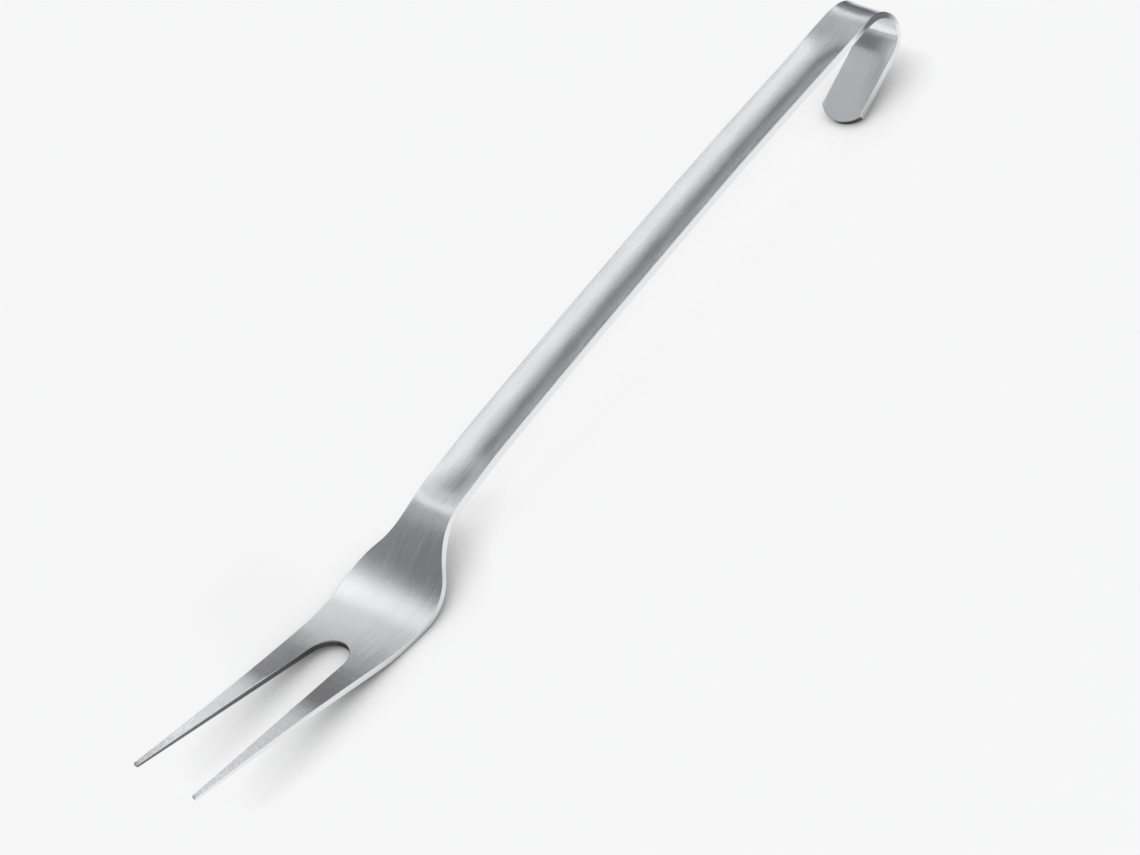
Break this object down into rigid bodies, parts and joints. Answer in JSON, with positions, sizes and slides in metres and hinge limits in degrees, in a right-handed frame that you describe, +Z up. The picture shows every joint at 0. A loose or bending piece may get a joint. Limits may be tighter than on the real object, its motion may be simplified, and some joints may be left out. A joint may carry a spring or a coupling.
{
  "type": "flesh fork",
  "caption": "Flesh fork bent from a strip of satin steel, with an open hanging hook, a shallow guttered handle, a dropped neck, and a wide root that divides into long tapered tines.",
  "frame": {"origin": "on the table under the middle of the fork's length, with the fork lying face up on its belly and the end of the hook's tail", "axes": "+X from the hook to the tips, +Z up out of the handle's gutter, +Y to the left tine's side"},
  "size_m": [0.3174, 0.0382, 0.0265],
  "materials": {
    "satin_steel": "satin, fine brushing along the strip, edges tumbled smooth"
  },
  "bodies": {
    "root": {"hanging_hook": "satin_steel", "handle": "satin_steel", "neck": "satin_steel", "fork_root": "satin_steel", "left_tine": "satin_steel", "right_tine": "satin_steel"}
  },
  "joints": []
}
